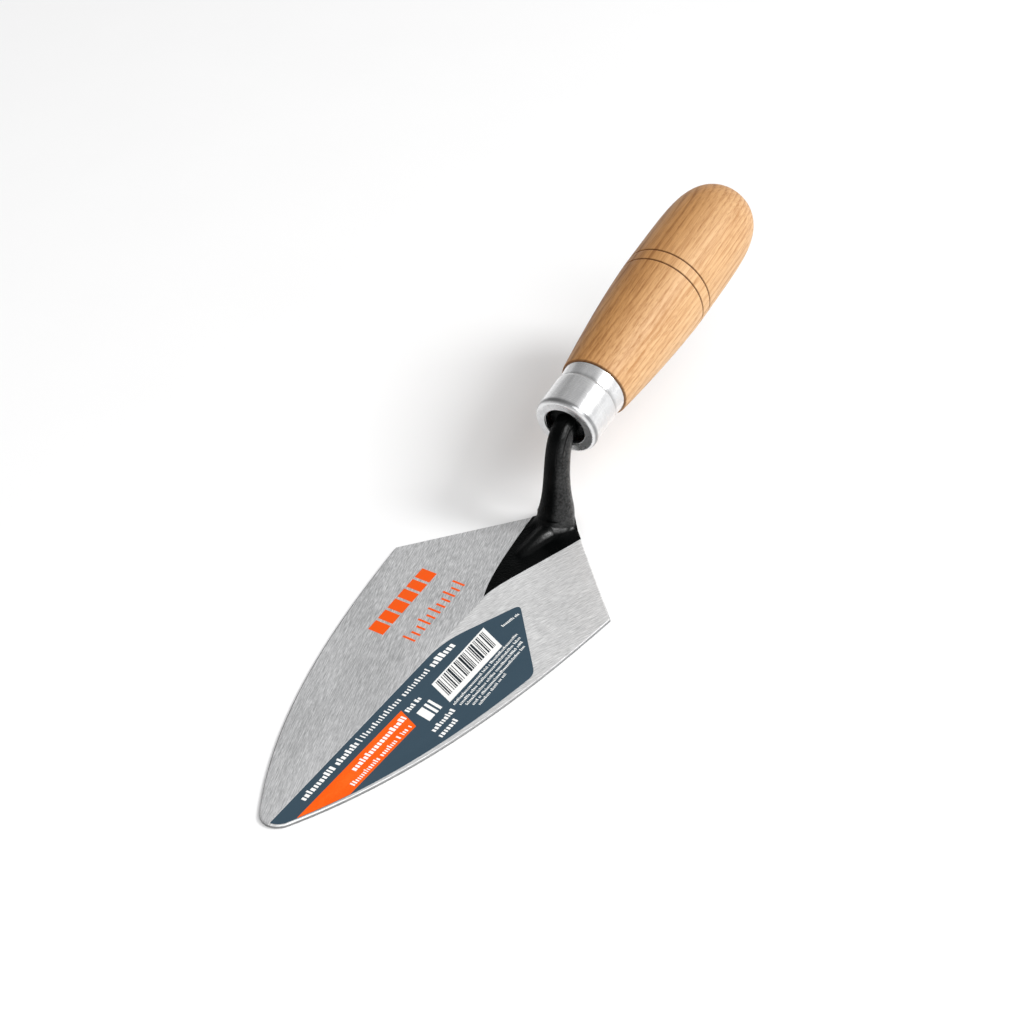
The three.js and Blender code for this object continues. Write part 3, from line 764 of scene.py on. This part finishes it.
def turned(profile):
    """The profile of stations and radii carried round the handle's axis: mouth + station times the axis +
    radius times the turning spoke."""
    stations, radii = profile[:, 0], profile[:, 1]
    angle = np.linspace(0, 2 * np.pi, AROUND, endpoint=False)
    up = np.array([-AXIS[2], 0.0, AXIS[0]])
    spoke = np.cos(angle)[:, None] * up + np.sin(angle)[:, None] * np.array([0.0, 1.0, 0.0])
    return MOUTH + stations[:, None, None] * AXIS + radii[:, None, None] * spoke


def rounding(start, end, steps, outward_first):
    """A quarter ellipse between two profile points, leaving along the radius or along the axis."""
    turn = np.linspace(0, np.pi / 2, steps)
    rise, fall = np.sin(turn), 1 - np.cos(turn)
    share = (fall, rise) if outward_first else (rise, fall)
    return np.c_[start[0] + (end[0] - start[0]) * share[0], start[1] + (end[1] - start[1]) * share[1]]


def ferrule_profile():
    """Round the wall: mouth, front face with a faint dish, lip, body, step, skirt, and back inside."""
    groove = FERRULE_RADIUS - STEP_DEPTH
    skirt = groove + SKIRT_FLARE
    inner = FERRULE_RADIUS - FERRULE_WALL
    body = np.linspace(LIP_ROUND + 0.2, STEP_STATION - STEP_RUN - 0.3, 12)
    flare = np.linspace(0, 1, 8)[1:]
    skirt_start = STEP_STATION + 0.4
    skirt_run = FERRULE_LENGTH - 0.15 - skirt_start
    return np.vstack([
        rounding((MOUTH_ROUND, MOUTH_RADIUS), (0.0, MOUTH_RADIUS + MOUTH_ROUND), 7, False),
        [[0.02, 8.6], [0.04, 9.4]],
        rounding((0.0, FACE_RADIUS), (LIP_ROUND, FERRULE_RADIUS), 14, True),
        np.c_[body, np.full(len(body), FERRULE_RADIUS)],
        rounding((STEP_STATION - STEP_RUN, FERRULE_RADIUS), (STEP_STATION, groove), 10, False),
        np.c_[skirt_start + skirt_run * flare, groove + SKIRT_FLARE * flare**1.3],
        [[FERRULE_LENGTH, skirt - 0.12], [FERRULE_LENGTH, skirt - FERRULE_WALL]],
        [[skirt_start, groove - FERRULE_WALL], [STEP_STATION - STEP_RUN, groove - FERRULE_WALL]],
        [[STEP_STATION - 2 * STEP_RUN, inner], [LIP_THICKNESS, inner], [LIP_THICKNESS, MOUTH_RADIUS]],
    ])


def handle_axes(finish):
    """The handle's own coordinates in metres: behind the mouth, to the side, and up square to the axis."""
    laid = finish.node(
        "ShaderNodeMapping", {"vector_type": "TEXTURE"},
        {0: finish.place, 1: tuple(MOUTH * MM), 2: (0, -TILT, 0), 3: (1, 1, 1)},
    )
    return laid, finish.axes(laid)


def plated_steel_finish():
    """Bright plating over pressed steel: fine rings left by polishing on the lathe, faint handling marks,
    soft streaks drawn along the body by the press, and a painted dark reflection and shade at the lip's
    turn and the step."""
    finish = Finish("ferrule_plating", Metallic=1.0, Roughness=0.25)
    laid, (along, *_) = handle_axes(finish)
    rings = finish.grain((0.00016, 0.03, 0.03), laid, detail=2.0)
    wide = finish.grain((0.0012, 0.05, 0.05), laid, detail=1.0)
    smears = finish.grain((0.004, 0.003, 0.003), laid, detail=3.0)
    drawn = finish.grain((0.030, 0.0030, 0.0030), laid, detail=2.0).ramp(0.36, 0.62)
    # Painted shade and reflection: dark rings at the lip's turn and just behind the step.
    lip_turn = along.ramp(0.0004, 0.0011) * (1 - along.ramp(0.0014, 0.0026))
    step = STEP_STATION * MM
    step_line = along.ramp(step - 0.0006, step) * (1 - along.ramp(step + 0.0002, step + 0.0018))
    painted_rim_shade = lip_turn * 0.7 + step_line * 0.4
    bright = finish.mix(smears.ramp(0.3, 0.75), paint(234, 234, 235), paint(244, 244, 244))
    plate = finish.mix(drawn * 0.34, bright, paint(184, 185, 187))
    finish.drive(
        Base_Color=finish.mix(painted_rim_shade, plate, paint(96, 97, 99)),
        Roughness=rings * 0.08 + smears * 0.06 + 0.2,
        Normal=finish.relief(rings * 0.2 + wide * 0.5, 0.000005),
    )
    return finish


ferrule_shell = skin(
    "ferrule_shell",
    [turned(ferrule_profile())],
    plated_steel_finish(),
    crease=28.0,
    loop=True,
)
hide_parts("ferrule")


# ---------------------------------------------------------------- handle
# The grip is turned from one piece of pale hardwood, with a spigot inside the ferrule, a blind hole for the
# tang, a long swell, a domed butt and two thin scorched grooves. It is sealed with a thin satin varnish.
WOOD_FRONT = FERRULE_LENGTH + CLEARANCE
HANDLE_LENGTH, SWELL = 104.9, 53.0
GRIP_RADIUS, NECK_RADIUS, NECK_SWEEP = 17.03, 12.7, 1.52
BUTT_REACH, BUTT_ROUND = 5.5, 2.6
GROOVES, GROOVE_HALF_WIDTH, GROOVE_DEPTH = (50.0, 55.2), 0.42, 0.45
FRONT_ROUND = 0.5
PITH_SIDE, PITH_DOWN, RING_SPACING, RING_SWAY = 0.062, 0.038, 0.0019, 0.004
SPIGOT_RADIUS = FERRULE_RADIUS - STEP_DEPTH - FERRULE_WALL - CLEARANCE


def grip_radius(station):
    """The wood's radius behind the ferrule: a power curve from the neck to the swell, a rounded curve to
    the butt, a small round at the front edge, and a parabola cut out at each groove."""
    before = GRIP_RADIUS - (GRIP_RADIUS - NECK_RADIUS) * np.clip(1 - station / SWELL, 0, 1) ** NECK_SWEEP
    past = np.clip((station - SWELL) / (HANDLE_LENGTH - SWELL), 0, 1)
    radius = np.where(station < SWELL, before, GRIP_RADIUS * (1 - past**BUTT_REACH) ** (1 / BUTT_ROUND))
    front = np.clip(1 - station / FRONT_ROUND, 0, 1)
    radius = radius - FRONT_ROUND * (1 - np.sqrt(1 - front**2))
    for groove in GROOVES:
        radius = radius - GROOVE_DEPTH * np.clip(1 - ((station - groove) / GROOVE_HALF_WIDTH) ** 2, 0, 1)
    return radius


def handle_profile():
    """From the bottom of the tang hole forward, round the spigot and back over the grip to the butt."""
    stations = np.unique(np.r_[
        np.linspace(0, FRONT_ROUND, 9),
        np.linspace(FRONT_ROUND, SWELL, 90),
        *(groove + GROOVE_HALF_WIDTH * np.linspace(-1.2, 1.2, 13) for groove in GROOVES),
        SWELL + (HANDLE_LENGTH - SWELL) * np.sin(np.linspace(0, np.pi / 2, 70)),
    ])
    hole_end = BOLSTER_REAR + TANG_LENGTH + CLEARANCE
    hole_start = BOLSTER_REAR + CLEARANCE
    inside = [
        [hole_end, 0.0], [hole_end, TANG_END * 0.75], [hole_start, TANG_ROOT * 0.75],
        [hole_start, SPIGOT_RADIUS - 0.4], [hole_start + 0.4, SPIGOT_RADIUS], [WOOD_FRONT, SPIGOT_RADIUS],
    ]
    radii = grip_radius(stations)
    radii[-1] = 0.0
    return np.vstack([inside, np.c_[WOOD_FRONT + stations, radii]])


def turned_wood_finish():
    """Pale straight-grained hardwood. Growth rings stand round a pith outside the handle, below it and to
    the right, so they cross the surface as long lines. The wood is darker on its left side, partly as its
    own heartwood tone and partly as painted shade. Rays and pores are short dark dashes, the grooves are
    scorched brown, and the front edge at the ferrule carries a painted shadow line."""
    finish = Finish("turned_wood", Roughness=0.5, Specular_IOR_Level=0.25)
    laid, (along, side, up) = handle_axes(finish)
    sway = finish.grain((0.160, 0.020, 0.020), laid, detail=2.0)
    from_pith = ((side + PITH_SIDE) ** 2.0 + (up + PITH_DOWN) ** 2.0) ** 0.5
    turns = (from_pith + sway * RING_SWAY) / RING_SPACING
    phase = turns.math("FRACT", turns)
    late = phase.ramp(0.35, 0.9) * (1 - phase.ramp(0.9, 1.0))
    streaks = finish.grain((0.040, 0.0016, 0.0016), laid, detail=3.0, sharpness=0.6)
    fibres = finish.grain((0.0085, 0.0005, 0.0005), laid, detail=2.0, sharpness=0.65)
    pores = finish.grain((0.0034, 0.00034, 0.00034), laid, detail=1.0).ramp(0.6, 0.75)
    broad = finish.grain((0.080, 0.010, 0.010), laid, detail=1.0)
    tone = late * 0.3 + streaks.ramp(0.3, 0.72) * 0.34 + fibres.ramp(0.3, 0.75) * 0.36
    tone = tone + (broad - 0.5) * 0.5
    # Darker towards the left: partly heartwood tone, partly painted shade.
    left_heartwood_and_shade = side.ramp(-0.016, 0.005)
    early = finish.mix(left_heartwood_and_shade, paint(214, 174, 129), paint(188, 136, 80))
    dense = finish.mix(left_heartwood_and_shade, paint(176, 128, 82), paint(140, 90, 45))
    wood = finish.mix(tone.ramp(0.02, 0.98), early, dense)
    wood = finish.mix(pores * 0.34, wood, paint(140, 88, 44))
    # Painted shadow: a dark line on the wood's front edge where it meets the ferrule.
    seat_shadow = 1 - along.ramp((WOOD_FRONT + 0.02) * MM, (WOOD_FRONT + 0.3) * MM)
    scorch_and_seat_shadow = seat_shadow * 0.7
    for groove in GROOVES:
        away = (along - (WOOD_FRONT + groove) * MM).size()
        scorch_and_seat_shadow = scorch_and_seat_shadow + (1 - away.ramp(0.00018, 0.00046))
    finish.drive(
        Base_Color=finish.mix(scorch_and_seat_shadow * 0.9, wood, paint(88, 52, 24)),
        Roughness=tone * 0.12 + pores * 0.15 + 0.42,
        Normal=finish.relief(streaks * 0.35 + fibres * 0.35 - pores * 0.9 - late * 0.3, 0.00006),
    )
    return finish


handle_wood = skin("handle_wood", [turned(handle_profile())], turned_wood_finish(), crease=50.0)
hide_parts("handle")


# ---------------------------------------------------------------- floor, light and camera
# The tool lies on a plain white sheet, with a strong soft box to the right and a larger, weaker one nearer
# the tip. The room falls off from a bright horizon to a darker ceiling and a dimmer left side, which gives
# the metal its bands and the round pieces their shaded side. The camera looks down from the tip's right.
FLOOR_DROP = 0.0002
FLOOR_HALF_SIZE = 6.0
DIM_SIDE = (-0.42, 0.91, 0.0)

floor_mesh = bpy.data.meshes.new("white_sheet")
floor_corners = FLOOR_HALF_SIZE * np.array([[-1, -1, 0], [1, -1, 0], [1, 1, 0], [-1, 1, 0]])
floor_mesh.from_pydata((floor_corners - [0, 0, FLOOR_DROP]).tolist(), [], [(0, 1, 2, 3)])
sheet_finish = Finish("white_sheet", Roughness=0.9, Specular_IOR_Level=0.1)
sheet_mottle = sheet_finish.grain((0.05, 0.05, 0.05), detail=2.0)
sheet_finish.drive(Base_Color=sheet_finish.mix(sheet_mottle, paint(247, 247, 247), paint(249, 249, 249)))
floor_mesh.materials.append(sheet_finish.material)
white_sheet = bpy.data.objects.new("white_sheet", floor_mesh)
bpy.context.scene.collection.objects.link(white_sheet)

room = bpy.data.worlds.new("room")
room.use_nodes = True
bpy.context.scene.world = room
room_nodes = room.node_tree.nodes
room_links = room.node_tree.links
room_place = room_nodes.new("ShaderNodeTexCoord")
room_height = room_nodes.new("ShaderNodeSeparateXYZ")
room_fall = room_nodes.new("ShaderNodeValToRGB")
room_fall.color_ramp.interpolation = "EASE"
for stop, height, grey in zip(room_fall.color_ramp.elements, (0.12, 0.5), (1.0, 0.48)):
    stop.position = height
    stop.color = (grey, grey, grey, 1)
room_links.new(room_place.outputs["Generated"], room_height.inputs[0])
room_links.new(room_height.outputs["Z"], room_fall.inputs["Fac"])
room_side = room_nodes.new("ShaderNodeVectorMath")
room_side.operation = "DOT_PRODUCT"
room_side.inputs[1].default_value = DIM_SIDE
room_shade = room_nodes.new("ShaderNodeMapRange")
room_shade.interpolation_type = "SMOOTHSTEP"
for socket, value in zip(("From Min", "From Max", "To Min", "To Max"), (-0.1, 0.9, 1.05, 0.6)):
    room_shade.inputs[socket].default_value = value
room_links.new(room_fall.outputs["Color"], room_nodes["Background"].inputs["Color"])
room_links.new(room_place.outputs["Generated"], room_side.inputs[0])
room_links.new(room_side.outputs["Value"], room_shade.inputs["Value"])
room_links.new(room_shade.outputs["Result"], room_nodes["Background"].inputs["Strength"])


def soft_light(name, place, target, size, power):
    """A square soft box at place, facing target, in metres."""
    lamp = bpy.data.lights.new(name, "AREA")
    lamp.shape = "SQUARE"
    lamp.size = size
    lamp.energy = power
    box = bpy.data.objects.new(name, lamp)
    aim = Vector(target) - Vector(place)
    box.location = place
    box.rotation_euler = aim.to_track_quat("-Z", "Y").to_euler()
    bpy.context.scene.collection.objects.link(box)


object_middle = (Vector(cad_box[0]) + Vector(cad_box[1])) / 2
soft_light("right_light", (0.95, -1.9, 1.9), object_middle, 0.9, 44.0)
soft_light("front_light", (-0.9, -1.5, 1.9), object_middle, 1.6, 30.0)

HEADING, FALL, ROLL = np.radians([33.2457, 36.0556, -3.2424])
CAMERA_PLACE = Vector((-0.485954, -0.324701, 0.455322))
camera_data = bpy.data.cameras.new("camera")
camera_data.lens = 77.344
camera_data.sensor_width = 36.0
camera_data.clip_start = 0.01
camera = bpy.data.objects.new("camera", camera_data)
turn = (
    Matrix.Rotation(HEADING - np.pi / 2, 3, "Z")
    @ Matrix.Rotation(np.pi / 2 - FALL, 3, "X")
    @ Matrix.Rotation(ROLL, 3, "Z")
)
camera.matrix_world = Matrix.Translation(CAMERA_PLACE) @ turn.to_4x4()
bpy.context.scene.collection.objects.link(camera)
bpy.context.scene.camera = camera
bpy.context.scene.view_settings.view_transform = "Standard"
